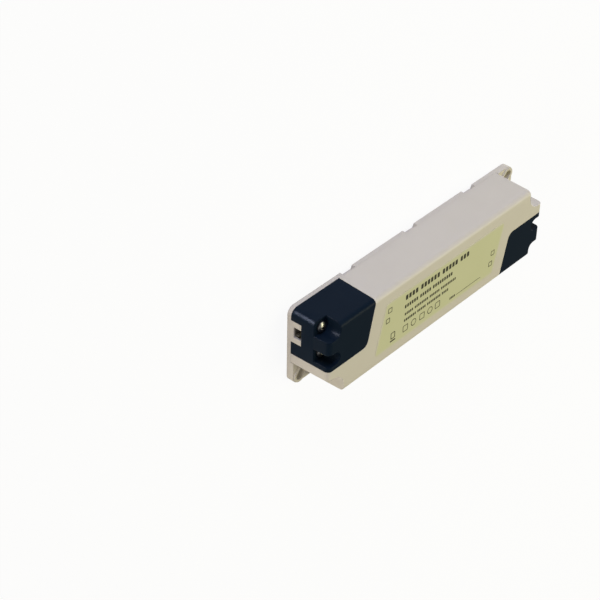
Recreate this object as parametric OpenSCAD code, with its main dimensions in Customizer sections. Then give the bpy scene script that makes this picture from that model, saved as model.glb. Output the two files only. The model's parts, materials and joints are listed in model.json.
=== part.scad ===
// LED driver in a two-part plastic case: a flat base with two mounting ears, a drafted cover,
// two dark end caps over the wiring chambers, and the converter board inside.
// X runs along the case, Y across it, Z up from the mounting surface. Turning the case half a turn
// about Z brings one end onto the other, so every end feature is drawn once, at the -X end.

/* [Case] */
// Overall length
case_l = 173; // [156:0.5:200]
// Overall width at the base
case_w = 46; // [42:0.5:60]
// Height of the label face above the mounting surface
case_h = 26.1; // [24:0.1:34]
// Wall thickness of the cover and the end caps
wall = 2; // [1.6:0.1:2.2]
// Lean of each long side between base and label face
side_draft = 1.1; // [0.1:0.1:1.4]
// Lean of each end between base and label face
end_draft = 0.8; // [0.1:0.1:1.6]
// Radius of the edges round the label face
edge_r = 2.7; // [1:0.1:4]
// Radius of the two corners that carry no ear
corner_r = 4.2; // [3:0.1:6]
// Clearance between the case pieces
fit_gap = 0.15; // [0.05:0.05:0.3]

/* [Base] */
// Thickness of the base plate
base_t = 2.4; // [2:0.1:3]
// Height of the rim that stands inside the cover walls
rim_h = 3; // [2:0.1:3.2]
// Thickness of that rim and of the snap tabs
rim_t = 1.5; // [1.2:0.1:1.8]
// Length of each snap tab and of the edge notch below it
snap_l = 9; // [6:0.5:11]
// Distance of the first snap tab's middle from the edge of the cap beside it
snap_in = 8.1; // [7.5:0.1:12]
// Distance of the last snap tab's middle from the end of the case
snap_out = 34.5; // [24:0.5:40]
// Height of a snap tab above the base plate
snap_h = 6.2; // [5:0.1:7]
// Overhang of the barb on a snap tab
barb = 0.6; // [0.4:0.05:0.8]
// Height of that barb
barb_h = 2.2; // [1.6:0.1:3]
// Slant of each end of an edge notch
snap_slant = 1.1; // [0.2:0.1:2]

/* [Mounting ears] */
// Thickness of an ear
ear_h = 4.2; // [3:0.1:6]
// Corner radius of an ear
ear_r = 4.2; // [2:0.1:6]
// Diameter of the fixing hole
ear_hole_d = 4.4; // [3.4:0.1:5.2]
// Distance of the fixing hole from both edges of the base
ear_hole_in = 5.3; // [4.8:0.1:6]
// Straight length of the oblong well over the fixing hole
slot_l = 3.2; // [2:0.1:3.6]
// Step between the fixing hole and that well
slot_step = 0.2; // [0.1:0.1:0.4]
// Thickness of the seat below that well
seat_t = 1.6; // [1.2:0.1:2]
// Width of the raised collar round that well
collar_d = 7.6; // [6.6:0.1:9]
// Height of that collar above the ear
collar_h = 0.7; // [0.3:0.1:1.2]
// Length of the cover's corner notch over an ear
notch_x = 12.6; // [12:0.1:15]
// Width of the cover's corner notch over an ear
notch_y = 13.9; // [12:0.1:14.4]
// Radius of the inner corner of that notch
notch_r = 8.4; // [4:0.1:10]

/* [End caps] */
// Length of a cap along the long side of the case
cap_x = 34.4; // [30:0.1:38]
// Length of a cap along its inner edge
cap_low = 29.1; // [25:0.1:32]
// Width of a cap from its long side to its inner edge
cap_w = 26.6; // [26:0.1:29]
// Width of the straight stretch of a cap's slanted edge, at the long side
cap_bend = 3.6; // [3:0.1:5]
// Radius of the corner between a cap's inner edge and its slanted edge
cap_corner_r = 4; // [2:0.1:6]
// Reach of the cover's lip below a cap's edge
lip_w = 2; // [1:0.1:3]
// Thickness of that lip
lip_t = 1.2; // [0.8:0.1:1.6]

/* [Screw wells] */
// Distance of the cable inlet and the middle of the two cap screws from the cap's long side
port_in = 12.6; // [12:0.1:14]
// Distance between the two cap screws of one end
well_pitch = 15.3; // [14:0.1:16]
// Distance of the cap screws from the end of the case
well_in = 5.4; // [5:0.1:7]
// Radius of a screw well
well_r = 3.8; // [3.4:0.1:4.4]
// Height of a well's floor above the mounting surface
well_z = 16.6; // [14:0.1:18]
// Wall and floor thickness of a well
well_t = 1.6; // [1.2:0.1:2]
// Diameter of the boss below a well
boss_d = 6.4; // [5.4:0.1:7]

/* [Cable inlet] */
// Width of the tongue that carries the cable inlet
tongue_w = 12.8; // [11:0.1:14]
// Height of that tongue above the mounting surface
tongue_h = 8.7; // [8:0.1:10]
// Thickness of that tongue
tongue_t = 1.2; // [1:0.1:2]
// Width of the cable inlet
inlet_w = 6.2; // [5:0.1:8]
// Height of the inlet's sill above the mounting surface
inlet_z = 4.2; // [3.4:0.1:4.4]

/* [Screws] */
// Thread diameter of a cap screw
screw_d = 3; // [2.5:0.1:3.5]
// Head diameter of a cap screw
screw_head_d = 5.8; // [5:0.1:6.5]
// Head height of a cap screw
screw_head_h = 2; // [1.6:0.1:2.4]
// Length of a cap screw below its head
screw_l = 11; // [8:0.5:12]
// Thread diameter of a board screw
board_screw_d = 2.6; // [2.2:0.1:3]
// Radial clearance of a screw in its hole
screw_gap = 0.1; // [0.05:0.05:0.2]

/* [Board] */
// Thickness of the circuit board
board_t = 1.6; // [1.2:0.1:2]
// Gap between the base plate and the board
board_lift = 3.6; // [3.4:0.1:4.5]
// Clearance between the board's ends and the cover's corner notches
board_end = 2.4; // [0.8:0.1:3]
// Clearance between the board and the snap tabs
board_gap = 0.3; // [0.2:0.1:0.6]
// Clearance between the tallest parts on the board and the cover
head_gap = 1.6; // [1:0.1:2.5]
// Width of the strip kept free along the board's long edges
edge_in = 2.2; // [1.8:0.1:2.4]
// Distance of the heatsinks from the board's long edges
sink_in = 2.25; // [2:0.05:2.5]
// Diameter of the posts below the board
post_d = 6; // [5:0.1:7]
// Distance of the posts from the board's edges
post_in = 4; // [3.6:0.1:5]
// Thickness of the insulating sheet on the base plate
sheet_t = 0.25; // [0.2:0.05:0.5]

/* [Terminals] */
// Depth of a terminal block along the case
terminal_l = 10; // [9:0.1:11]
// Width of a terminal block
terminal_w = 12.4; // [11.6:0.1:13]
// Height of a terminal block
terminal_h = 11; // [10:0.1:13]
// Distance between the two poles of a terminal block
pole_pitch = 5.08; // [5:0.01:5.5]
// Diameter of a terminal screw
pole_screw_d = 3.9; // [3:0.1:4.2]
// Height of a terminal screw
pole_screw_h = 3.2; // [2.4:0.1:3.6]
// Depth of the well that holds a terminal screw
pole_well_h = 4; // [3.6:0.1:4.4]
// Width of a wire opening
wire_w = 3.2; // [2.4:0.1:3.6]
// Height of a wire opening
wire_h = 3.6; // [2.4:0.1:4]
// Height of a wire opening's sill above the board
wire_z = 2; // [1.5:0.1:2.5]

/* [Input side] */
// Diameter of the fuse
fuse_d = 7.8; // [7:0.1:8.2]
// Height of the fuse
fuse_h = 7.6; // [6:0.1:9]
// Height of the fuse's foot
fuse_foot = 1; // [0.6:0.1:1.5]
// Diameter of the thermistor
thermistor_d = 9; // [7:0.1:10]
// Thickness of the thermistor
thermistor_t = 4.4; // [3.4:0.1:5]
// Diameter of the varistor
varistor_d = 10; // [8:0.1:11]
// Thickness of the varistor
varistor_t = 4; // [3.4:0.1:5]
// Length of the filter capacitor
filter_l = 17.5; // [15:0.1:19]
// Width of the filter capacitor
filter_w = 8; // [6:0.1:9]
// Height of the filter capacitor
filter_h = 13.5; // [10:0.1:15]
// Outer radius of the line choke's ring core
ring_r = 7; // [6.5:0.1:8]
// Radial width of that ring core
ring_w = 3.6; // [3:0.1:4]
// Height of that ring core
ring_h = 7; // [5:0.1:9]
// Thickness of the windings on that ring core
turn_t = 1.2; // [0.8:0.1:1.5]
// Length of the bridge rectifier
bridge_l = 14.4; // [13:0.1:16]
// Thickness of the bridge rectifier
bridge_t = 3.6; // [3:0.1:4.2]
// Height of the bridge rectifier's body
bridge_h = 11; // [9:0.1:12]
// Length of the bulk capacitor, which lies on its side
bulk_l = 26; // [20:0.5:28]

/* [Switching side] */
// Length of the heatsink of the switching transistor
switch_sink_l = 34; // [24:0.5:36]
// Height of both heatsinks
sink_h = 13.5; // [13:0.1:15.5]
// Thickness of both heatsinks
sink_t = 2; // [1.5:0.1:2.2]
// Width of the fin along the top of a heatsink
sink_fin = 3.5; // [2.5:0.1:4]
// Width of a power package
package_l = 10; // [9:0.1:11]
// Thickness of a power package
package_t = 4.4; // [4:0.1:4.8]
// Height of a power package's body above the board
package_h = 6.6; // [6:0.1:7]
// Thickness of a power package's tab
tab_t = 1.3; // [1:0.1:1.6]
// Length of the control chip
chip_l = 9.2; // [9:0.1:10]
// Width of the chip's body, which the optocoupler shares
chip_w = 6.4; // [6:0.1:7]
// Height of the chip's body, which the optocoupler shares
chip_h = 3.2; // [2.6:0.1:3.6]
// Diameter of the supply capacitor
supply_d = 6.3; // [5:0.1:8]
// Height of the supply capacitor
supply_h = 11; // [9:0.1:12.5]

/* [Transformer] */
// Outer length of the core, square in plan
core_l = 25; // [22:0.5:26]
// Thickness of the core and width of its middle limb
core_t = 7.2; // [6:0.1:8]
// Thickness of the coil former's flanges
flange_t = 1.2; // [0.8:0.1:1.6]
// Thickness of the coil former's tube
tube_t = 1; // [0.8:0.1:1.4]
// Step of the winding below the rim of the flanges
winding_in = 0.5; // [0.3:0.1:1]

/* [Output side] */
// Diameter of the bridging capacitor
bridging_d = 8; // [6:0.1:9]
// Thickness of the bridging capacitor
bridging_t = 3.6; // [3:0.1:5]
// Length of the optocoupler
coupler_l = 4.6; // [4.4:0.1:5.4]
// Length of the heatsink of the output diode
diode_sink_l = 22; // [16:0.5:24]
// Diameter of an output capacitor
output_d = 10; // [8:0.1:11]
// Distance between the output capacitors
output_pitch = 11.5; // [11.2:0.1:12]
// Diameter of the output choke's drum core
drum_d = 11; // [9:0.1:12]
// Height of that drum core
drum_h = 13; // [10:0.1:14]
// Thickness of that drum core's flanges
drum_flange = 1.5; // [1:0.1:2]
// Diameter of that drum core's neck
drum_neck_d = 5; // [4:0.1:6]
// Diameter of a resistor
resistor_d = 2.4; // [1.8:0.1:2.8]
// Length of a resistor
resistor_l = 6.4; // [5:0.1:7]
// Distance between neighbouring resistors
resistor_pitch = 3.6; // [3:0.1:4]

/* [Label] */
// Length of the label along its long edges
label_l = 95.6; // [70:0.1:100]
// Width of the label
label_w = 29.2; // [20:0.1:31]
// Sideways lean of the label's ends over its width
label_lean = 7.9; // [0:0.1:9]
// Corner radius of the label
label_r = 2.4; // [1:0.1:4]
// Thickness of the label
label_t = 0.12; // [0.08:0.01:0.2]
// Offset of the label's middle from the middle of the case
label_at = [0.4, -0.4]; // [-3:0.1:3]

/* [Hidden] */
$fn = 48;

// Overshoot of cutting shapes past the faces that they cut
over = 1;
// Smallest radius kept where a wall's inside follows a rounded outside
least_r = 0.6;
rise = case_h - base_t;
port = [well_in - case_l / 2, case_w / 2 - port_in];
well_y = [port.y + well_pitch / 2, port.y - well_pitch / 2];
well_base = well_z - well_t;
hole_at = [ear_hole_in - case_l / 2, ear_hole_in - case_w / 2];
rim_in = wall + fit_gap;

snap_x = cap_x + snap_in - case_l / 2;
snap_pitch = (case_l / 2 - snap_out - snap_x) / 2;

board_l = case_l - 2 * (notch_x + wall + board_end);
board_w = case_w - 2 * (rim_in + rim_t + board_gap);
board_z = base_t + board_lift;
board_top = board_z + board_t;
post_at = [board_l / 2 - post_in, board_w / 2 - post_in];
// Height and diameter of the tallest parts
tall = case_h - wall - board_top - head_gap;
// Distance of the insulating sheet from the board's long edges
sheet_in = 1.5;
terminal_at = [terminal_l / 2 - board_l / 2, port.y];
pole_well_d = pole_screw_d + 2 * fit_gap;
// Width and depth of the slot in a terminal screw
pole_slot = [0.6, 1];

// Section of a flat lead, diameter of a round one, and the pitch of leads in a row
lead = [0.9, 0.7];
lead_d = 0.8;
lead_pitch = 2.54;
// Width and height of a chip's shoulders, and its stand above the board
chip_lead = [1.1, 0.9, 2];
chip_stand = 0.4;
// Stand of the leaded parts above the board
stand = 1.2;
fuse_step = 0.3;
disc_lead_pitch = 5;
varistor_lead_pitch = 7.5;
bridge_stand = 2;
bridge_lead_pitch = 3.8;
bridge_bevel = 2.6;
// Bevel, position of the crimped groove and rim of a capacitor's can
can_bevel = 0.45;
can_groove = 2;
can_rim = 1;

// Heights of a power package's leads and of the screw through its tab
package_stand = 2.2;
tab_head_d = 1.8 * screw_d;
tab_hole_z = package_h + tab_head_d / 2 + 2 * fit_gap;
tab_top = tab_hole_z + screw_d / 2 + screw_gap + tab_t / 2;

side_leg = core_t / 2;
// Clearance of the coil former inside the core
core_gap = 0.1;
coil_l = core_l - 2 * side_leg - 2 * core_gap;
coil_mid = tall / 2;
// Length of each pin rail, from below the yoke to inside the flange
rail = (core_l - coil_l) / 2 + flange_t;
// Step of the output choke's winding below the rim of the drum core
drum_step = 0.6;

// Lengths of the columns of parts along the board, with the same gap between all of them
columns = [terminal_l, fuse_d + 2 * fuse_step, filter_l, bulk_l, core_l, output_pitch + output_d, terminal_l];
function total(n) = n == 0 ? 0 : columns[n - 1] + total(n - 1);
column_gap = (board_l - total(len(columns))) / (len(columns) - 1);
function column_x(i) = total(i) + i * column_gap + columns[i] / 2 - board_l / 2;

// Places on the board, from its middle
edge_y = board_w / 2 - edge_in;
sink_y = board_w / 2 - sink_in;
package_y = sink_y - sink_t / 2 - package_t;
fuse_at = [column_x(1), edge_y - fuse_d / 2 - fuse_step];
thermistor_at = [column_x(1), (varistor_d - fuse_d) / 2 - fuse_step];
varistor_at = [column_x(1), varistor_d / 2 - edge_y];
filter_at = [column_x(2), edge_y - filter_w / 2];
line_choke_at = [column_x(2), (bridge_t - filter_w) / 2];
bridge_at = [column_x(2), bridge_t / 2 - edge_y];
bulk_at = [column_x(3), edge_y - tall / 2];
chip_row = (edge_y - tall - package_y) / 2;
chip_at = [column_x(3) - (bulk_l - chip_l) / 2, chip_row];
supply_at = [column_x(3) + (chip_l - coupler_l) / 2, chip_row];
coupler_at = [column_x(3) + (bulk_l - coupler_l) / 2, chip_row];
switch_sink_at = [column_x(3) + (switch_sink_l - bulk_l) / 2, -sink_y];
transformer_at = [column_x(4), edge_y - core_l / 2];
bridging_at = [column_x(4), bridging_t / 2 - edge_y];
diode_sink_at = [column_x(5), sink_y];
output_at = [column_x(5) - output_pitch / 2, (package_y + drum_d - edge_y) / 2];
output_choke_at = [column_x(5) - output_pitch / 2, drum_d / 2 - edge_y];
resistors_at = [column_x(5) + output_pitch / 2, resistor_d / 2 - edge_y];

// Outlines

// Rounded trapezoid of the case across Y or along X, all its faces moved in by i
module profile(half, draft, i) {
    lean = atan(draft / rise);
    r = max(edge_r - i, least_r);
    top = case_h - i;
    low_half = half - i + draft * i / rise;
    top_half = half - i - draft * (rise - i) / rise;
    centre = [top_half - r * (1 - sin(lean)) / cos(lean), top - r];
    tangent = centre + r * [cos(lean), sin(lean)];
    for (s = [-1, 1]) translate([s * centre.x, centre.y]) circle(r);
    polygon([[-low_half, base_t - i], [low_half, base_t - i], tangent, centre, [centre.x, top],
        [-centre.x, top], [-centre.x, centre.y], [-tangent.x, tangent.y]]);
}

// Rectangle of the case, moved in by i, with radius r at the plain corners and q at the ear corners
module footprint(i, r, q) {
    half = [case_l / 2 - i, case_w / 2 - i];
    for (s = [0, 180]) rotate(s) {
        translate([half.x - r, r - half.y]) circle(r);
        translate([q - half.x, q - half.y]) circle(q);
        polygon([[0, 0], [q - half.x, q - half.y], [q - half.x, -half.y], [half.x - r, -half.y],
            [half.x - r, r - half.y]]);
        polygon([[0, 0], [half.x - r, r - half.y], [half.x, r - half.y], [half.x, half.y - q],
            [half.x - q, half.y - q]]);
    }
}

// Room over the ear at the -X end, with its walls moved out by i
module ear_room(i) {
    centre = [notch_x - notch_r - case_l / 2, notch_y - notch_r - case_w / 2];
    far = [over + case_l / 2, over + case_w / 2];
    translate(centre) circle(notch_r + i);
    translate(-far) square([centre.x + far.x, centre.y + far.y + notch_r + i]);
    translate(-far) square([centre.x + far.x + notch_r + i, centre.y + far.y]);
}

// Oblong of width d over the fixing hole at the -X end, along the ear's diagonal
module oblong(d) translate(hole_at) rotate(45) {
    square([slot_l, d], center = true);
    for (s = [-1, 1]) translate([s * slot_l / 2, 0]) circle(d = d);
}

// Outline of the cap at the -X end, grown by g
module cap_plan(g) {
    low = [cap_low - case_l / 2, case_w / 2 - cap_w];
    side = [cap_x - case_l / 2, case_w / 2 - cap_bend];
    turn = atan2(side.y - low.y, side.x - low.x);
    r = max(cap_corner_r + g, least_r);
    corner = [low.x + (g - r) * (1 - cos(turn)) / sin(turn), low.y - g + r];
    bend = [side.x + g, side.y - g * (1 - sin(turn)) / cos(turn)];
    far = [-case_l / 2 - over, case_w / 2 + over];
    translate(corner) circle(r);
    polygon([[far.x, low.y - g], [corner.x, low.y - g], corner, corner + r * [sin(turn), -cos(turn)],
        bend, [bend.x, far.y], far]);
}

// Plan of the screw wells at the -X end, grown by g: both open at the end, one at the long side too
module wells_plan(g) {
    r = well_r + g;
    for (y = well_y) translate([port.x, y]) {
        circle(r);
        translate([-case_l, -r]) square([case_l, 2 * r]);
    }
    translate([port.x - case_l, well_y[0]]) square([case_l + r, case_w]);
}

// Case solids

module both_ends() for (s = [0, 180]) rotate(s) children();

// Whole case above the base plate, all its faces moved in by i
module case_solid(i) {
    intersection() {
        translate([0, 0, base_t - i]) linear_extrude(case_h) difference() {
            footprint(i, max(corner_r - i, least_r), least_r);
            both_ends() ear_room(i);
        }
        rotate([90, 0, 90]) linear_extrude(case_l + over, center = true)
            profile(case_w / 2, side_draft, i);
        rotate([90, 0, 0]) linear_extrude(case_w + over, center = true)
            profile(case_l / 2, end_draft, i);
    }
}

module column(low, high) translate([0, 0, low]) linear_extrude(high - low) children();

module at_snaps() {
    both_ends() for (k = [0 : 2]) translate([snap_x + k * snap_pitch, case_w / 2, 0]) children();
}

module at_wells() for (y = well_y) translate([port.x, y, 0]) children();

module ear() {
    column(0, ear_h) intersection() {
        footprint(0, corner_r, ear_r);
        ear_room(-fit_gap);
    }
    column(0, ear_h + collar_h) intersection() {
        footprint(0, corner_r, ear_r);
        oblong(collar_d);
    }
}

module snap_tab() translate([-snap_l / 2, -rim_in - rim_t, base_t - over])
    cube([snap_l, rim_t, snap_h + over]);

module snap_barb() {
    lean = side_draft * snap_h / rise;
    translate([-snap_l / 2, -rim_in - lean, base_t + snap_h - barb_h])
        rotate([90, 0, 90]) linear_extrude(snap_l)
            polygon([[lean - rim_t, 0], [barb, 0], [0, barb_h], [lean - rim_t, barb_h]]);
}

// Plan of the notch in the base plate's edge below a snap tab, narrower towards the tab
module edge_notch() {
    open = snap_l / 2;
    inner = open - snap_slant;
    polygon([[-inner, -wall], [inner, -wall], [open, 0], [open, over], [-open, over], [-open, 0]]);
}

module base_tray() color("#d9d3c4") difference() {
    union() {
        column(0, base_t) footprint(0, corner_r, ear_r);
        both_ends() ear();
        intersection() {
            case_solid(rim_in);
            union() {
                column(base_t - over, base_t + rim_h) difference() {
                    footprint(0, corner_r, least_r);
                    difference() {
                        footprint(rim_in + rim_t, least_r, least_r);
                        both_ends() ear_room(rim_in + rim_t);
                    }
                }
                both_ends() at_wells() translate([0, 0, base_t - over])
                    cylinder(d = boss_d, h = well_base - base_t + over);
                at_snaps() snap_tab();
            }
        }
        at_snaps() snap_barb();
        both_ends() intersection() {
            translate([-case_l / 2, port.y - tongue_w / 2, base_t - over])
                cube([tongue_t, tongue_w, tongue_h - base_t + over]);
            rotate([90, 0, 0]) linear_extrude(case_w, center = true) profile(case_l / 2, end_draft, 0);
        }
        for (x = [-1, 1], y = [-1, 1])
            translate([x * post_at.x, y * post_at.y, base_t - over])
                cylinder(d = post_d, h = board_lift + over);
    }
    both_ends() {
        translate([hole_at.x, hole_at.y, -over])
            cylinder(d = ear_hole_d, h = ear_h + collar_h + 2 * over);
        column(seat_t, ear_h + collar_h + over) oblong(ear_hole_d + 2 * slot_step);
        at_wells() translate([0, 0, base_t]) cylinder(r = screw_d / 2 + screw_gap, h = well_z);
        translate([-case_l / 2 - over, port.y - inlet_w / 2, inlet_z])
            cube([rim_in + rim_t + 2 * over, inlet_w, case_h]);
        translate([tongue_t - case_l / 2, port.y - inlet_w / 2, base_t])
            cube([rim_in + rim_t, inlet_w, rim_h + over]);
        translate([-post_at.x, -post_at.y, base_t])
            cylinder(r = board_screw_d / 2 + screw_gap, h = board_lift + over);
    }
    at_snaps() column(-over, base_t) edge_notch();
}

// Lip of the cover that runs on below the edges of both caps, clear of the screw wells
module cap_lips() {
    low = base_t + rim_h + fit_gap;
    start = port.x + well_r + well_t + fit_gap;
    intersection() {
        difference() {
            case_solid(rim_in);
            case_solid(rim_in + lip_t);
        }
        both_ends() column(low, case_h) difference() {
            cap_plan(fit_gap + lip_w);
            cap_plan(-lip_w);
            translate([start - case_l, -case_w]) square([case_l, 2 * case_w]);
        }
    }
    intersection() {
        difference() {
            case_solid(wall / 2);
            case_solid(rim_in + lip_t);
        }
        both_ends() column(low, case_h) difference() {
            cap_plan(fit_gap + lip_w);
            cap_plan(fit_gap);
            translate([start - case_l, -case_w]) square([case_l, 2 * case_w]);
        }
    }
}

module top_cover() color("#d9d3c4") difference() {
    union() {
        difference() {
            case_solid(0);
            case_solid(wall);
            both_ends() column(base_t - over, case_h + over) cap_plan(fit_gap);
        }
        cap_lips();
    }
    at_snaps() translate([-snap_l / 2 - fit_gap, -wall - over, base_t + snap_h - barb_h - fit_gap])
        cube([snap_l + 2 * fit_gap, over + barb + fit_gap, barb_h + 3 * fit_gap]);
}

module end_cap() color("#1c2431") difference() {
    union() {
        intersection() {
            difference() {
                case_solid(0);
                case_solid(wall);
            }
            column(0, case_h + over) cap_plan(0);
        }
        intersection() {
            case_solid(0);
            column(well_base, case_h + over) intersection() {
                cap_plan(0);
                wells_plan(well_t);
            }
        }
    }
    column(well_z, case_h + over) wells_plan(0);
    at_wells() translate([0, 0, well_base - over])
        cylinder(r = screw_d / 2 + screw_gap, h = well_t + 2 * over);
    translate([-case_l / 2 - over, port.y - tongue_w / 2 - fit_gap, 0])
        cube([over + wall + tongue_t, tongue_w + 2 * fit_gap, tongue_h + fit_gap]);
}

module input_cap() end_cap();

module output_cap() rotate(180) end_cap();

// Screws

// Pan-head screw with a cross recess, its head standing on z = 0
module pan_screw(d, l, head_d, head_h) {
    drop = 0.45 * head_h;
    dome_r = (pow(head_d / 2, 2) + pow(drop, 2)) / (2 * drop);
    slot = [0.55 * head_d, 0.15 * head_d, 0.6 * head_h];
    translate([0, 0, -l]) cylinder(d = d, h = l);
    difference() {
        intersection() {
            cylinder(d = head_d, h = head_h);
            translate([0, 0, head_h - dome_r]) sphere(dome_r);
        }
        for (a = [0, 90]) rotate(a) translate([-slot.x / 2, -slot.y / 2, head_h - slot.z])
            cube([slot.x, slot.y, slot.z + over]);
    }
}

module cap_screws() color("silver") at_wells() translate([0, 0, well_z])
    pan_screw(screw_d, screw_l, screw_head_d, screw_head_h);

module input_cap_screws() cap_screws();

module output_cap_screws() rotate(180) cap_screws();

module board_screws() color("silver") both_ends() translate([-post_at.x, -post_at.y, board_top])
    pan_screw(board_screw_d, board_t + board_lift - over, 2 * board_screw_d, 0.7 * board_screw_d);

// Label, sheet and board

module rating_label() color("#b9bc84") translate([label_at.x, label_at.y, case_h]) linear_extrude(label_t) {
    turn = atan2(label_w, label_lean);
    normal = label_r * [sin(turn), -cos(turn)];
    up = [0, label_r];
    half_y = label_w / 2 - label_r;
    mid_x = label_l / 2 - label_r / sin(turn);
    sharp = [mid_x + half_y / tan(turn), half_y];
    blunt = [mid_x - half_y / tan(turn), -half_y];
    for (corner = [sharp, blunt, -sharp, -blunt]) translate(corner) circle(label_r);
    polygon([-sharp - up, blunt - up, blunt + normal, sharp + normal, sharp + up, up - blunt,
        -blunt - normal, -sharp - normal]);
}

// Sheet that lies on the base plate between the posts
module insulating_sheet() color("whitesmoke") column(base_t, base_t + sheet_t)
    square([2 * post_at.x - post_d - 4 * fit_gap, board_w - 2 * sheet_in], center = true);

module circuit_board() color("darkgreen") column(board_z, board_top) difference() {
    square([board_l, board_w], center = true);
    for (s = [-1, 1]) translate(s * post_at) circle(r = board_screw_d / 2 + screw_gap);
}

module on_board(at) translate([at.x, at.y, board_top]) children();

module box(size) translate([-size.x / 2, -size.y / 2, 0]) cube(size);

// Wiring terminals

module at_poles() for (s = [-1, 1]) translate([0, s * pole_pitch / 2, 0]) children();

module terminal_block() color("seagreen") on_board(terminal_at) difference() {
    box([terminal_l, terminal_w, terminal_h]);
    at_poles() {
        translate([0, 0, terminal_h - pole_well_h]) cylinder(d = pole_well_d, h = pole_well_h + over);
        translate([-terminal_l / 2 - over, -wire_w / 2, wire_z])
            cube([terminal_l / 2 + over, wire_w, wire_h]);
    }
}

module terminal_screws() color("silver") on_board(terminal_at) at_poles()
    translate([0, 0, terminal_h - pole_well_h]) difference() {
        cylinder(d = pole_screw_d, h = pole_screw_h);
        translate([0, 0, pole_screw_h - pole_slot.y])
            box([2 * pole_screw_d, pole_slot.x, pole_slot.y + over]);
    }

module input_terminal() terminal_block();

module input_terminal_screws() terminal_screws();

module output_terminal() rotate(180) terminal_block();

module output_terminal_screws() rotate(180) terminal_screws();

// Input side

module fuse() color("saddlebrown") on_board(fuse_at) {
    cylinder(d = fuse_d + 2 * fuse_step, h = fuse_foot);
    cylinder(d = fuse_d, h = fuse_h);
}

// Coated disc of diameter d and thickness t across X, on two leads
module disc_part(d, t, pitch) {
    translate([-t / 2, 0, stand + d / 2]) rotate([0, 90, 0]) cylinder(d = d, h = t);
    for (s = [-1, 1]) translate([0, s * pitch / 2, 0]) cylinder(d = lead_d, h = stand + d / 2);
}

module thermistor() color("darkolivegreen") on_board(thermistor_at)
    disc_part(thermistor_d, thermistor_t, disc_lead_pitch);

module varistor() color("royalblue") on_board(varistor_at)
    disc_part(varistor_d, varistor_t, varistor_lead_pitch);

module filter_capacitor() color("goldenrod") on_board(filter_at) box([filter_l, filter_w, filter_h]);

// Section of the line choke's ring, grown by g
module ring_section(g) translate([ring_r - ring_w - g, turn_t - g])
    square([ring_w + 2 * g, ring_h + 2 * g]);

module line_choke_core() color("dimgray") on_board(line_choke_at) rotate_extrude() ring_section(0);

module line_choke_windings() color("peru") on_board(line_choke_at) for (a = [30, 210])
    rotate(a) rotate_extrude(angle = 120) difference() {
        ring_section(turn_t);
        ring_section(0);
    }

module bridge_rectifier() color("#26262a") on_board(bridge_at) {
    half = bridge_l / 2;
    translate([0, 0, bridge_stand]) rotate([90, 0, 0]) linear_extrude(bridge_t, center = true)
        polygon([[-half, 0], [half, 0], [half, bridge_h - bridge_bevel], [half - bridge_bevel, bridge_h],
            [-half, bridge_h]]);
    for (k = [-1.5 : 1.5]) translate([bridge_lead_pitch * k, 0, 0])
        box([lead.x, lead.y, bridge_stand + lead.y]);
}

// Upright can capacitor of diameter d and height h, with a crimped groove near its foot and a rim on top
module can(d, h) rotate_extrude() {
    r = d / 2;
    c = can_bevel;
    polygon([[0, 0], [r - c, 0], [r, c], [r, can_groove - c], [r - c, can_groove], [r, can_groove + c],
        [r, h - c], [r - c, h], [r - can_rim, h], [r - can_rim - c, h - c], [0, h - c]]);
}

module bulk_capacitor() color("#2a2f4a") on_board(bulk_at) translate([-bulk_l / 2, 0, tall / 2])
    rotate([0, 90, 0]) can(tall, bulk_l);

// Switching side

// Plate heatsink of length l along X, its top bent back into a fin
module heatsink(l) translate([0, -sink_t / 2, 0]) difference() {
    union() {
        translate([-l / 2, 0, 0]) cube([l, sink_t, sink_h]);
        translate([-l / 2, sink_t - sink_fin, sink_h - sink_t]) cube([l, sink_fin, sink_t]);
    }
    translate([0, -over, tab_hole_z]) rotate([-90, 0, 0])
        cylinder(r = screw_d / 2 + screw_gap, h = sink_t + 2 * over);
}

// Three-legged power package with a metal tab, the tab's back on y = 0
module power_package() {
    difference() {
        translate([-package_l / 2, 0, package_stand]) cube([package_l, tab_t, tab_top - package_stand]);
        translate([0, -over, tab_hole_z]) rotate([-90, 0, 0])
            cylinder(r = screw_d / 2 + screw_gap, h = tab_t + 2 * over);
    }
    translate([-package_l / 2, 0, package_stand]) cube([package_l, package_t, package_h - package_stand]);
    for (k = [-1 : 1]) translate([lead_pitch * k, package_t / 2, 0])
        box([lead.x, lead.y, package_stand + lead.y]);
}

module tab_screw() translate([0, tab_t, tab_hole_z]) rotate([-90, 0, 0])
    pan_screw(screw_d, tab_t + sink_t, tab_head_d, screw_head_h);

module at_switch_sink() on_board(switch_sink_at) translate([0, sink_t / 2, 0]) children();

module at_diode_sink() on_board(diode_sink_at) translate([0, -sink_t / 2, 0]) rotate(180) children();

module switch_heatsink() color("lightgray") on_board(switch_sink_at) heatsink(switch_sink_l);

module switch_transistor() color("#222226") at_switch_sink() power_package();

// Chip of length l with n leads along each long side
module chip(l, n) {
    translate([0, 0, chip_stand]) box([l, chip_w, chip_h]);
    for (k = [0 : n - 1], s = [-1, 1]) translate([lead_pitch * (k - (n - 1) / 2), s * chip_w / 2, 0])
        box(chip_lead);
}

module control_chip() color("#222226") on_board(chip_at) chip(chip_l, 4);

module supply_capacitor() color("#2a2f4a") on_board(supply_at) can(supply_d, supply_h);

// Transformer, with its coil along X

// Middle limb of the core, grown by g
module core_limb(g) translate([0, 0, coil_mid - core_t / 2 - g])
    box([core_l, core_t + 2 * g, core_t + 2 * g]);

module transformer_core() color("#3a3a3c") on_board(transformer_at) {
    translate([0, 0, coil_mid - core_t / 2]) linear_extrude(core_t) difference() {
        square(core_l, center = true);
        square(core_l - 2 * side_leg, center = true);
    }
    core_limb(0);
}

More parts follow.
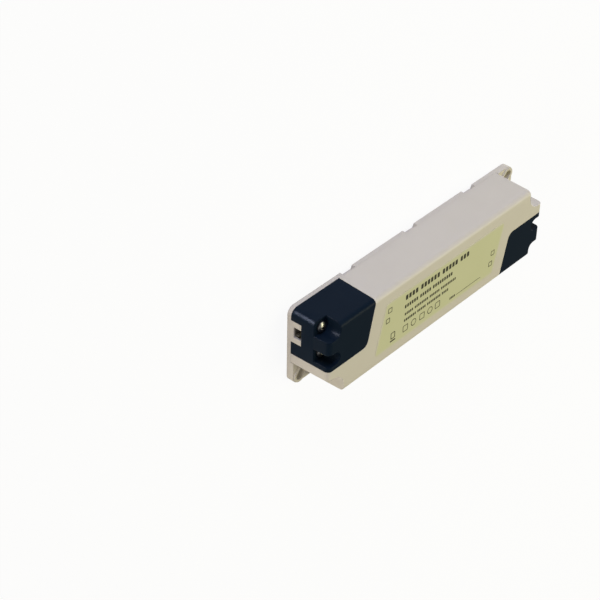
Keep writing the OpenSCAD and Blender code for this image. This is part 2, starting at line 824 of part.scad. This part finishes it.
module transformer_bobbin() color("#1f1f21") on_board(transformer_at) difference() {
    union() {
        translate([0, 0, coil_mid - core_t / 2 - tube_t])
            box([coil_l, core_t + 2 * tube_t, core_t + 2 * tube_t]);
        for (s = [-1, 1]) {
            translate([s * (coil_l - flange_t) / 2, 0, 0]) box([flange_t, coil_l, tall]);
            translate([s * (core_l - rail) / 2, 0, 0]) box([rail, coil_l, coil_mid - core_t / 2]);
        }
    }
    core_limb(0);
}

module transformer_winding() color("gold") on_board(transformer_at) difference() {
    translate([0, 0, winding_in])
        box([coil_l - 2 * flange_t, coil_l - 2 * winding_in, tall - 2 * winding_in]);
    core_limb(tube_t);
}

// Output side

module bridging_capacitor() color("steelblue") on_board(bridging_at) rotate(90)
    disc_part(bridging_d, bridging_t, disc_lead_pitch);

module optocoupler() color("#222226") on_board(coupler_at) chip(coupler_l, 2);

module diode_heatsink() color("lightgray") on_board(diode_sink_at) rotate(180) heatsink(diode_sink_l);

module output_diode() color("#222226") at_diode_sink() power_package();

module sink_screws() color("silver") {
    at_switch_sink() tab_screw();
    at_diode_sink() tab_screw();
}

module output_capacitors() color("#20242c") for (k = [0, 1])
    on_board(output_at + [k * output_pitch, 0]) can(output_d, tall);

module output_choke_core() color("dimgray") on_board(output_choke_at) {
    for (z = [0, drum_h - drum_flange]) translate([0, 0, z]) cylinder(d = drum_d, h = drum_flange);
    cylinder(d = drum_neck_d, h = drum_h);
}

module output_choke_winding() color("peru") on_board(output_choke_at) {
    h = drum_h - 2 * drum_flange;
    translate([0, 0, drum_flange]) difference() {
        cylinder(d = drum_d - 2 * drum_step, h = h);
        translate([0, 0, -over]) cylinder(d = drum_neck_d, h = h + 2 * over);
    }
}

module resistors() color("tan") for (k = [0 : 2]) on_board(resistors_at + [0, k * resistor_pitch])
    translate([-resistor_l / 2, 0, resistor_d / 2]) rotate([0, 90, 0])
        cylinder(d = resistor_d, h = resistor_l);

base_tray();
top_cover();
input_cap();
output_cap();
input_cap_screws();
output_cap_screws();
rating_label();
insulating_sheet();
circuit_board();
board_screws();
input_terminal();
input_terminal_screws();
output_terminal();
output_terminal_screws();
fuse();
thermistor();
varistor();
filter_capacitor();
line_choke_core();
line_choke_windings();
bridge_rectifier();
bulk_capacitor();
switch_heatsink();
switch_transistor();
control_chip();
supply_capacitor();
transformer_core();
transformer_bobbin();
transformer_winding();
bridging_capacitor();
optocoupler();
diode_heatsink();
output_diode();
sink_screws();
output_capacitors();
output_choke_core();
output_choke_winding();
resistors();
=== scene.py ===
import json
import math

import bmesh
import bpy
import numpy as np
from mathutils import Euler, Matrix, Vector


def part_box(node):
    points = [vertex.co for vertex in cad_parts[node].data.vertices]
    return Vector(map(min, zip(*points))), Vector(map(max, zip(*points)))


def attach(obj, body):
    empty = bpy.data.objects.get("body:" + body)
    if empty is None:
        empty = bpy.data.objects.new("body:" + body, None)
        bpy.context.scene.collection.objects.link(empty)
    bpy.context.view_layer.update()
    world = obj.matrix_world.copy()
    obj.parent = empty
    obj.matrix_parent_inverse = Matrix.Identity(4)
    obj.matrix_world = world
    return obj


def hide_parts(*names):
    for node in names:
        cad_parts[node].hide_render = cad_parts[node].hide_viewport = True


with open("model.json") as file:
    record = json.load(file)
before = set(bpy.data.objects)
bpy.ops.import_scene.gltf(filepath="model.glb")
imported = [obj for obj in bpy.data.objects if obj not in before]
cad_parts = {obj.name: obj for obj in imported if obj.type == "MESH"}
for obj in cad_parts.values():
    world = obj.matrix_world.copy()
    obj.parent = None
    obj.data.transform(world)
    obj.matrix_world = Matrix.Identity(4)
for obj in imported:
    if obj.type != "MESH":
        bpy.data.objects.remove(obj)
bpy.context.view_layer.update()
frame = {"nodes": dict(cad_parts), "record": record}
nodes = frame["nodes"]
scene = bpy.context.scene
scene.view_settings.view_transform = "Standard"

MM = 0.001
WHITE = (1, 1, 1, 1)

# Camera: its place, its right and up directions in the frame of the case, its film, lens and reach
CAMERA_AT = Vector((-565.59, 531.97, 431.61)) * MM
CAMERA_RIGHT = Vector((0.67017, 0.01330, 0.74209))
CAMERA_UP = Vector((0.45008, 0.78774, -0.42057))
SENSOR = 36.0
LENS = 103.82
NEAREST = 0.01
FARTHEST = 100.0

# Rounding of the sharp edges of the case, the caps, their screws and the label, and its steps
CASE_EDGE = 0.22 * MM
CAP_EDGE = 0.60 * MM
SCREW_EDGE = 0.12 * MM
LABEL_EDGE = 0.03 * MM
EDGE_STEPS = 3
SHARP_ANGLE = math.radians(30)
# Facets within this angle become one face, and points within this distance one point
FLAT_ANGLE = math.radians(0.3)
WELD = 0.002 * MM

# Moulded skin: the scales of its drift of tone and its scuffs as shares of the grain's scale, the noise
# from which a scuff starts and at which it is full, and the roughness that it adds
CLOUD_SHARE = 0.012
SCUFF_SHARE = 0.045
SCUFF_START = 0.60
SCUFF_FULL = 0.74
SCUFF_ROUGHNESS = 0.12
# Samples that find the worn edges of a surface
EDGE_SAMPLES = 8

# Label: half its length, the lean of its ends across its width, the width and pale colour of the painted
# glare along its edges, and the ink
LABEL_HALF_LENGTH = 47.8 * MM
LABEL_LEAN = 0.27
LABEL_GLARE_FADE = 1.8 * MM
LABEL_GLARE_RIM = (0.62, 0.60, 0.45, 1)
INK = 0.02 * MM

# The print is in millimetres from the middle of the case
# Rows of blocks: where the row starts, its y and height, and how many blocks each word has
PRINT_ROWS = (
    (-28.6, 10.0, 3.0, (4, 6, 5, 3)),
    (-29.0, 4.5, 2.1, (6, 5, 9)),
    (-28.7, -0.3, 1.6, (5, 8, 6, 9)),
    (-29.0, -4.2, 1.6, (7, 5, 8, 4)),
    (8.2, -11.6, 1.4, (4,)),
)
# Shares of a row's height: a block's width and corner, the gap after it and the space after a word
BLOCK_WIDTH = 0.60
BLOCK_CORNER = 0.14
BLOCK_GAP = 0.26
WORD_SPACE = 0.55
# Rule lines: middle and size
RULES = (
    ((23.8, -11.9), (20.4, 0.3)),
    ((-37.4, -11.6), (4.0, 0.9)),
)
RULE_CORNER = 0.1
# Open marks: middle, size, corner radius and stroke
OPEN_MARKS = (
    ((-27.6, -9.5), (4.0, 4.0), 0.5, 0.42),
    ((-21.1, -9.5), (4.2, 4.2), 2.1, 0.42),
    ((-14.4, -9.5), (4.0, 4.0), 0.5, 0.42),
    ((-8.0, -9.5), (4.2, 4.2), 2.1, 0.42),
    ((-1.9, -9.5), (4.0, 4.0), 0.5, 0.42),
    ((-40.6, 9.1), (3.0, 3.0), 0.4, 0.4),
    ((-42.0, 3.3), (3.0, 3.0), 0.4, 0.4),
    ((43.3, -1.2), (3.0, 3.0), 0.4, 0.4),
    ((42.0, -7.6), (3.0, 3.0), 0.4, 0.4),
    ((-37.4, -8.4), (3.4, 4.0), 0.5, 0.5),
)
LEAST_RADIUS = 0.05

# Floor: half its width, its depth below the case, its paper, and how much of its white is its own
FLOOR_HALF = 40.0
FLOOR_DROP = 0.02 * MM
FLOOR_PAPER = (0.92, 0.92, 0.92, 1)
FLOOR_GLOW = 0.91
SKY_STRENGTH = 0.25
LAMP_SIZE = 1.2

# Gloss cards: the place out from the near cap's corner, the length, the width and the power of each
GLOSS_CARDS = (
    (Vector((-4.8, 4.5, 1.0)) * MM, 8.0 * MM, 4.0 * MM, 0.004),
    (Vector((-10.5, 10.0, 1.0)) * MM, 8.0 * MM, 9.0 * MM, 0.010),
    (Vector((-21.2, 16.1, 1.0)) * MM, 16.0 * MM, 20.0 * MM, 0.050),
)
CARD_TINT = (0.92, 0.90, 1.0)
# A card lies face up, turned to the diagonal of the cap's corner
CARD_TURN = Euler((math.pi, 0, math.radians(135)))


def look(name):
    """An empty material, its node tree, its Principled BSDF and the Object coordinates."""
    material = bpy.data.materials.new(name)
    material.use_nodes = True
    tree = material.node_tree
    shader = tree.nodes["Principled BSDF"]
    coords = tree.nodes.new("ShaderNodeTexCoord")
    return material, tree, shader, coords.outputs["Object"]


def fill(tree, socket, value):
    """Wires a socket from another node's output, or sets it to a plain value."""
    if isinstance(value, bpy.types.NodeSocket):
        tree.links.new(value, socket)
    else:
        socket.default_value = value


def add(tree, kind, **values):
    """A new node of that kind with its named sockets filled. An underscore in a name stands for a space."""
    node = tree.nodes.new(kind)
    for name, value in values.items():
        fill(tree, node.inputs[name.replace("_", " ")], value)
    return node


def maths(tree, operation, *values):
    """A Math node's output for one, two or three values or sockets."""
    node = tree.nodes.new("ShaderNodeMath")
    node.operation = operation
    for socket, value in zip(node.inputs, values):
        fill(tree, socket, value)
    return node.outputs[0]


def blend_colour(tree, mask, low, high):
    """Colour that goes from low to high as mask goes from 0 to 1."""
    node = tree.nodes.new("ShaderNodeMix")
    node.data_type = "RGBA"
    for name, value in (("Factor_Float", mask), ("A_Color", low), ("B_Color", high)):
        socket = next(socket for socket in node.inputs if socket.identifier == name)
        fill(tree, socket, value)
    return next(socket for socket in node.outputs if socket.identifier == "Result_Color")


def new_group(name, inputs, outputs):
    """A shader node group with the named and typed sockets, and the sockets of its two end nodes."""
    group = bpy.data.node_groups.new(name, "ShaderNodeTree")
    for label, kind in inputs:
        group.interface.new_socket(label, in_out="INPUT", socket_type=kind)
    for label, kind in outputs:
        group.interface.new_socket(label, in_out="OUTPUT", socket_type=kind)
    return group, group.nodes.new("NodeGroupInput").outputs, group.nodes.new("NodeGroupOutput").inputs


def moulded_skin_group():
    """Skin of a moulded or coated piece. Height is fine spark-erosion grain, Cloud is a slow drift of tone
    from 0 to 1, and Rub is a mask of faint scuffs, all from noise at shares of the Grain scale."""
    vector, number = "NodeSocketVector", "NodeSocketFloat"
    group, given, made = new_group("moulded_skin", [("Vector", vector), ("Grain", number)],
                                   [("Height", number), ("Cloud", number), ("Rub", number)])
    place, grain = given["Vector"], given["Grain"]
    fine = add(group, "ShaderNodeTexNoise", Vector=place, Scale=grain, Detail=3.0, Roughness=0.6)
    slow = add(group, "ShaderNodeTexNoise", Vector=place, Detail=4.0, Roughness=0.55,
               Scale=maths(group, "MULTIPLY", grain, CLOUD_SHARE))
    streak = add(group, "ShaderNodeTexNoise", Vector=place, Detail=5.0, Roughness=0.7, Distortion=1.2,
                 Scale=maths(group, "MULTIPLY", grain, SCUFF_SHARE))
    rub = add(group, "ShaderNodeMapRange", Value=streak.outputs["Fac"], From_Min=SCUFF_START,
              From_Max=SCUFF_FULL)
    group.links.new(fine.outputs["Fac"], made["Height"])
    group.links.new(slow.outputs["Fac"], made["Cloud"])
    group.links.new(rub.outputs["Result"], made["Rub"])
    return group


SKIN = moulded_skin_group()


def place_skin(tree, coords, grain):
    """The moulded skin's outputs on these coordinates, with grain cells of about 1/grain metres."""
    node = tree.nodes.new("ShaderNodeGroup")
    node.node_tree = SKIN
    tree.links.new(coords, node.inputs["Vector"])
    node.inputs["Grain"].default_value = grain
    return node.outputs


def grain_bump(tree, shader, height, depth, strength, edge):
    """Wires a height to the shader's normal as a bump of that depth in metres, on edges that catch the
    light as if they were rounded to the given radius."""
    worn = add(tree, "ShaderNodeBevel", Radius=edge)
    worn.samples = EDGE_SAMPLES
    bump = add(tree, "ShaderNodeBump", Height=height, Strength=strength, Distance=depth,
               Normal=worn.outputs["Normal"])
    tree.links.new(bump.outputs["Normal"], shader.inputs["Normal"])


def moulded(name, low, high, rough, grain=6000.0, depth=0.01 * MM, strength=0.5, specular=0.5,
            metallic=0.0, edge=0.1 * MM):
    """Moulded, coated or plated finish: its colour drifts between low and high, and scuffs are rougher."""
    material, tree, shader, coords = look(name)
    skin = place_skin(tree, coords, grain)
    colour = blend_colour(tree, skin["Cloud"], (*low, 1), (*high, 1))
    tree.links.new(colour, shader.inputs["Base Color"])
    roughness = add(tree, "ShaderNodeMapRange", Value=skin["Rub"], To_Min=rough,
                    To_Max=rough + SCUFF_ROUGHNESS)
    tree.links.new(roughness.outputs["Result"], shader.inputs["Roughness"])
    shader.inputs["Specular IOR Level"].default_value = specular
    shader.inputs["Metallic"].default_value = metallic
    grain_bump(tree, shader, skin["Height"], depth, strength, edge)
    return material


def ivory_plastic():
    """Matte plastic of the cover and base."""
    return moulded("ivory_plastic", (0.60, 0.56, 0.47), (0.64, 0.60, 0.51), 0.46, grain=5200.0,
                   depth=0.012 * MM, specular=0.35, edge=0.25 * MM)


def navy_plastic():
    """Satin plastic of the caps, with little gloss on its faces and more on its worn edges."""
    return moulded("navy_plastic", (0.0050, 0.0112, 0.0205), (0.0062, 0.0132, 0.0240), 0.32, grain=5200.0,
                   depth=0.008 * MM, specular=0.03, edge=0.9 * MM)


def plated_steel():
    """Dull zinc plating of the screws."""
    return moulded("plated_steel", (0.30, 0.29, 0.28), (0.42, 0.41, 0.40), 0.28, grain=3000.0, metallic=1.0)


def label_film():
    """Printed green film with a painted glare: its green fades to a pale rim along its four edges. Measured
    from the label's middle, the distance from the edge is the lesser of half its width - |y| and half its
    length -
    |x - LEAN y|, because the two ends of the label lean."""
    material = moulded("label_film", (0.57, 0.575, 0.335), (0.61, 0.61, 0.375), 0.42, grain=4000.0,
                       depth=0.006 * MM, specular=0.3)
    tree = material.node_tree
    shader = tree.nodes["Principled BSDF"]
    green = shader.inputs["Base Color"].links[0].from_socket
    low, high = (Vector(corner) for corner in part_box("rating_label"))
    half_width = (high.y - low.y) / 2
    centred = add(tree, "ShaderNodeMapping", Vector=tree.nodes["Texture Coordinate"].outputs["Object"],
                  Location=-(low + high) / 2)
    place = add(tree, "ShaderNodeSeparateXYZ", Vector=centred.outputs["Vector"]).outputs
    along = maths(tree, "SUBTRACT", place["X"], maths(tree, "MULTIPLY", place["Y"], LABEL_LEAN))
    from_ends = maths(tree, "SUBTRACT", LABEL_HALF_LENGTH, maths(tree, "ABSOLUTE", along))
    from_sides = maths(tree, "SUBTRACT", half_width, maths(tree, "ABSOLUTE", place["Y"]))
    from_edge = maths(tree, "MINIMUM", from_ends, from_sides)
    # Painted glare: near the label's edges its green goes over to a pale rim
    inside = add(tree, "ShaderNodeMapRange", Value=from_edge, From_Max=LABEL_GLARE_FADE)
    inside.interpolation_type = "SMOOTHSTEP"
    colour = blend_colour(tree, inside.outputs["Result"], LABEL_GLARE_RIM, green)
    tree.links.new(colour, shader.inputs["Base Color"])
    return material


def printing_ink():
    """Matte dark ink of the print."""
    return moulded("printing_ink", (0.030, 0.029, 0.018), (0.050, 0.048, 0.030), 0.55, grain=4000.0,
                   specular=0.2)


# Finishes of the pieces inside the case: low colour, high colour, roughness, metallic
INNER_LOOKS = {
    "white_film": ((0.74, 0.74, 0.71), (0.82, 0.82, 0.80), 0.35, 0.0),
    "green_board": ((0.012, 0.095, 0.032), (0.020, 0.135, 0.048), 0.30, 0.0),
    "terminal_plastic": ((0.022, 0.17, 0.10), (0.032, 0.22, 0.13), 0.40, 0.0),
    "brown_plastic": ((0.17, 0.065, 0.022), (0.22, 0.085, 0.030), 0.35, 0.0),
    "olive_coating": ((0.060, 0.090, 0.028), (0.085, 0.120, 0.038), 0.45, 0.0),
    "blue_coating": ((0.022, 0.095, 0.36), (0.030, 0.125, 0.45), 0.40, 0.0),
    "yellow_plastic": ((0.62, 0.40, 0.030), (0.70, 0.47, 0.042), 0.38, 0.0),
    "ferrite": ((0.030, 0.030, 0.032), (0.050, 0.050, 0.052), 0.55, 0.0),
    "copper_wire": ((0.40, 0.13, 0.035), (0.50, 0.18, 0.055), 0.30, 0.6),
    "black_epoxy": ((0.012, 0.012, 0.014), (0.020, 0.020, 0.022), 0.45, 0.0),
    "dark_sleeve": ((0.018, 0.022, 0.055), (0.026, 0.032, 0.075), 0.25, 0.0),
    "bare_aluminium": ((0.52, 0.53, 0.54), (0.60, 0.61, 0.62), 0.38, 1.0),
}


def finishes():
    """Every material of the part, by the record's slot name."""
    made = {slot: moulded(slot, low, high, rough, metallic=metallic)
            for slot, (low, high, rough, metallic) in INNER_LOOKS.items()}
    made["ivory_plastic"] = ivory_plastic()
    made["navy_plastic"] = navy_plastic()
    made["plated_steel"] = plated_steel()
    made["label_film"] = label_film()
    return made


LOOKS = finishes()
SLOT_OF = {part["node"]: part["material_slot"] for part in frame["record"]["subparts"]}


def soften(node, name, width, sink=0.0):
    """A copy of a node's skin as one welded surface: facets within FLAT_ANGLE are joined, and each edge
    sharper than SHARP_ANGLE is rounded off over the given width. Its top may be sunk a little. It stands
    for the node."""
    mesh = nodes[node].data.copy()
    mesh.materials.clear()
    points = np.empty(3 * len(mesh.vertices), dtype=np.float32)
    mesh.vertices.foreach_get("co", points)
    height = points[2::3]
    height[height > height.max() - WELD] -= sink
    mesh.vertices.foreach_set("co", points)
    surface = bmesh.new()
    surface.from_mesh(mesh)
    bmesh.ops.remove_doubles(surface, verts=surface.verts, dist=WELD)
    bmesh.ops.dissolve_limit(surface, angle_limit=FLAT_ANGLE, verts=surface.verts, edges=surface.edges)
    surface.to_mesh(mesh)
    surface.free()
    if "custom_normal" in mesh.attributes:
        mesh.attributes.remove(mesh.attributes["custom_normal"])
    mesh.polygons.foreach_set("use_smooth", np.ones(len(mesh.polygons), dtype=bool))
    mesh.edges.foreach_set("use_edge_sharp", np.zeros(len(mesh.edges), dtype=bool))
    piece = bpy.data.objects.new(name, mesh)
    scene.collection.objects.link(piece)
    bevel = piece.modifiers.new("rounded_edges", "BEVEL")
    bevel.width = width
    bevel.segments = EDGE_STEPS
    bevel.limit_method = "ANGLE"
    bevel.angle_limit = SHARP_ANGLE
    bevel.harden_normals = True
    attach(piece, "root")
    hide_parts(node)
    return piece


def finish_piece(piece, slot):
    """Gives a piece the finish of a material slot."""
    piece.data.materials.clear()
    piece.data.materials.append(LOOKS[slot])


# Nodes whose edges are rounded: the piece that stands for each, its rounding, and how far its top is sunk
ROUNDED = {
    "base_tray": ("base_shell", CASE_EDGE),
    "top_cover": ("cover_shell", CASE_EDGE),
    "input_cap": ("input_cap_shell", CAP_EDGE),
    "output_cap": ("output_cap_shell", CAP_EDGE),
    "input_cap_screws": ("input_pan_screws", SCREW_EDGE),
    "output_cap_screws": ("output_pan_screws", SCREW_EDGE),
    "rating_label": ("label_sheet", LABEL_EDGE, INK),
}
for node, slot in SLOT_OF.items():
    if node in ROUNDED:
        finish_piece(soften(node, *ROUNDED[node]), slot)
    else:
        nodes[node].data.materials.clear()
        nodes[node].data.materials.append(LOOKS[slot])


def corner_arcs(centre, size, radius, points=5):
    """Outline of a rounded rectangle, as an array of points: four quarter circles of the given radius, the
    k-th from k to k + 1 right angles, about the corners of the rectangle moved in by the radius."""
    turn = np.linspace(0, math.pi / 2, points) + np.arange(4)[:, None] * math.pi / 2
    signs = np.array([(1, 1), (-1, 1), (-1, -1), (1, -1)])[:, None, :]
    middle = signs * (np.array(size) / 2 - radius)
    arcs = middle + radius * np.stack([np.cos(turn), np.sin(turn)], axis=2)
    return np.array(centre) + arcs.reshape(-1, 2)


def carried(loops, closed):
    """Surface through a stack of loops of equal length, as points and arrays of faces: quads from each loop
    to the next, and either back to the first loop, or a flat face on the first and the last."""
    count, length = len(loops), len(loops[0])
    index = np.arange(count * length).reshape(count, length)
    upper = np.roll(index, -1, axis=0) if closed else index[1:]
    lower = index if closed else index[:-1]
    quads = np.stack([lower, np.roll(lower, -1, axis=1), np.roll(upper, -1, axis=1), upper], axis=2)
    faces = [quads.reshape(-1, 4)]
    if not closed:
        faces.append(np.stack([index[0][::-1], index[-1]]))
    return np.concatenate(loops), faces


def at_height(outline, z):
    """The points of a flat outline at one height."""
    return np.column_stack([outline, np.full(len(outline), z)])


def block(centre, size, radius):
    """Solid mark of the print: a rounded rectangle carried from height 0 to 1, the ink's thickness."""
    outline = corner_arcs(centre, size, radius)
    return carried([at_height(outline, 0.0), at_height(outline, 1.0)], closed=False)


def open_mark(centre, size, radius, stroke):
    """Open mark of the print: a flat band of the given stroke carried round a rounded rectangle."""
    outer = corner_arcs(centre, size, radius)
    inner = corner_arcs(centre, np.array(size) - 2 * stroke, max(radius - stroke, LEAST_RADIUS))
    loops = [at_height(outer, 0.0), at_height(outer, 1.0), at_height(inner, 1.0), at_height(inner, 0.0)]
    return carried(loops, closed=True)


def row_of_blocks(start, y, height, words):
    """Marks of one printed row: for each word, that many blocks side by side, and a space after it."""
    width = BLOCK_WIDTH * height
    marks, x = [], start
    for count in words:
        for _ in range(count):
            marks.append(block((x + width / 2, y), (width, height), BLOCK_CORNER * height))
            x += width + BLOCK_GAP * height
        x += WORD_SPACE * height
    return marks


def label_print():
    """Plain print of the label: rows of blocks, rule lines and small open marks. It is one piece that lies
    on the sunk label, and each mark's faces are counted on from the points before it."""
    marks = [mark for row in PRINT_ROWS for mark in row_of_blocks(*row)]
    marks += [block(centre, size, RULE_CORNER) for centre, size in RULES]
    marks += [open_mark(*values) for values in OPEN_MARKS]
    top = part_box("rating_label")[1][2]
    points = np.concatenate([outline for outline, _ in marks]) * (MM, MM, INK) + (0, 0, top - INK)
    faces, used = [], 0
    for outline, groups in marks:
        for group in groups:
            faces += (group + used).tolist()
        used += len(outline)
    mesh = bpy.data.meshes.new("label_print")
    mesh.from_pydata(points.tolist(), [], faces)
    piece = bpy.data.objects.new("label_print", mesh)
    scene.collection.objects.link(piece)
    mesh.materials.append(printing_ink())
    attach(piece, "root")


label_print()


def camera():
    """The camera of the photograph, turned about its own axis so that the long side of the case is up."""
    back = CAMERA_RIGHT.cross(CAMERA_UP)
    turn = Matrix((CAMERA_RIGHT, CAMERA_UP, back)).transposed().to_4x4()
    data = bpy.data.cameras.new("photo_camera")
    data.sensor_width = SENSOR
    data.lens = LENS
    data.clip_start = NEAREST
    data.clip_end = FARTHEST
    eye = bpy.data.objects.new("photo_camera", data)
    eye.matrix_world = Matrix.Translation(CAMERA_AT) @ turn
    scene.collection.objects.link(eye)
    scene.camera = eye


def seen_directly(tree):
    """1 where a ray comes from the camera, a gloss or through glass, and 0 where it only carries light."""
    path = tree.nodes.new("ShaderNodeLightPath").outputs
    through = maths(tree, "MAXIMUM", path["Is Glossy Ray"], path["Is Transmission Ray"])
    return maths(tree, "MAXIMUM", path["Is Camera Ray"], through)


def floor():
    """Plain pale floor that is near white to the camera and keeps the shadow of the case."""
    half = FLOOR_HALF
    corners = [(-half, -half, 0), (half, -half, 0), (half, half, 0), (-half, half, 0)]
    mesh = bpy.data.meshes.new("studio_floor")
    mesh.from_pydata(corners, [], [(0, 1, 2, 3)])
    plane = bpy.data.objects.new("studio_floor", mesh)
    plane.location.z = -FLOOR_DROP
    scene.collection.objects.link(plane)
    material = bpy.data.materials.new("floor_paper")
    material.use_nodes = True
    tree = material.node_tree
    tree.nodes.clear()
    paper = add(tree, "ShaderNodeBsdfDiffuse", Color=FLOOR_PAPER)
    glow = add(tree, "ShaderNodeEmission", Color=WHITE, Strength=1.0)
    mixed = add(tree, "ShaderNodeMixShader", Fac=maths(tree, "MULTIPLY", seen_directly(tree), FLOOR_GLOW))
    tree.links.new(paper.outputs["BSDF"], mixed.inputs[1])
    tree.links.new(glow.outputs["Emission"], mixed.inputs[2])
    out = tree.nodes.new("ShaderNodeOutputMaterial")
    tree.links.new(mixed.outputs["Shader"], out.inputs["Surface"])
    mesh.materials.append(material)


def lamp(name, at, size, power, colour):
    """A square soft lamp, aimed at the middle of the case's base."""
    data = bpy.data.lights.new(name, "AREA")
    data.size = size
    data.energy = power
    data.color = colour
    light = bpy.data.objects.new(name, data)
    light.location = at
    light.rotation_mode = "QUATERNION"
    light.rotation_quaternion = (-Vector(at)).to_track_quat("-Z", "Y")
    light.visible_camera = False
    scene.collection.objects.link(light)
    return light


def gloss_cards():
    """Three small lamps that lie on the floor beside the near cap, wider and brighter away from it. They
    show only as gloss on the two caps."""
    caps = bpy.data.collections.new("glossy_caps")
    for name in ("input_cap_shell", "output_cap_shell"):
        caps.objects.link(bpy.data.objects[name])
    low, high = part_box("input_cap")
    corner = Vector((low[0], high[1], 0))
    for place, length, width, power in GLOSS_CARDS:
        card = lamp("gloss_card", corner + place, length, power, CARD_TINT)
        card.data.shape = "RECTANGLE"
        card.data.size_y = width
        card.rotation_quaternion = CARD_TURN.to_quaternion()
        card.visible_diffuse = False
        card.light_linking.receiver_collection = caps


def sky():
    """Even dim surroundings."""
    world = bpy.data.worlds.new("studio")
    scene.world = world
    world.use_nodes = True
    background = world.node_tree.nodes["Background"]
    background.inputs["Color"].default_value = WHITE
    background.inputs["Strength"].default_value = SKY_STRENGTH


camera()
floor()
sky()
# Soft lamps over the label face, beside the long side and past the near end: place, size, power, tint
lamp("face_lamp", (0.95, -0.10, 1.75), LAMP_SIZE, 23.5, (1.0, 0.959, 0.62))
side_lamp = lamp("side_lamp", (-0.30, 2.00, 0.20), LAMP_SIZE, 34.4, (0.642, 0.664, 1.0))
end_lamp = lamp("end_lamp", (-2.00, -0.30, 0.15), LAMP_SIZE, 20.4, (1.0, 0.892, 0.82))
# The two low lamps leave no glare on the label face
side_lamp.visible_glossy = False
end_lamp.visible_glossy = False
gloss_cards()
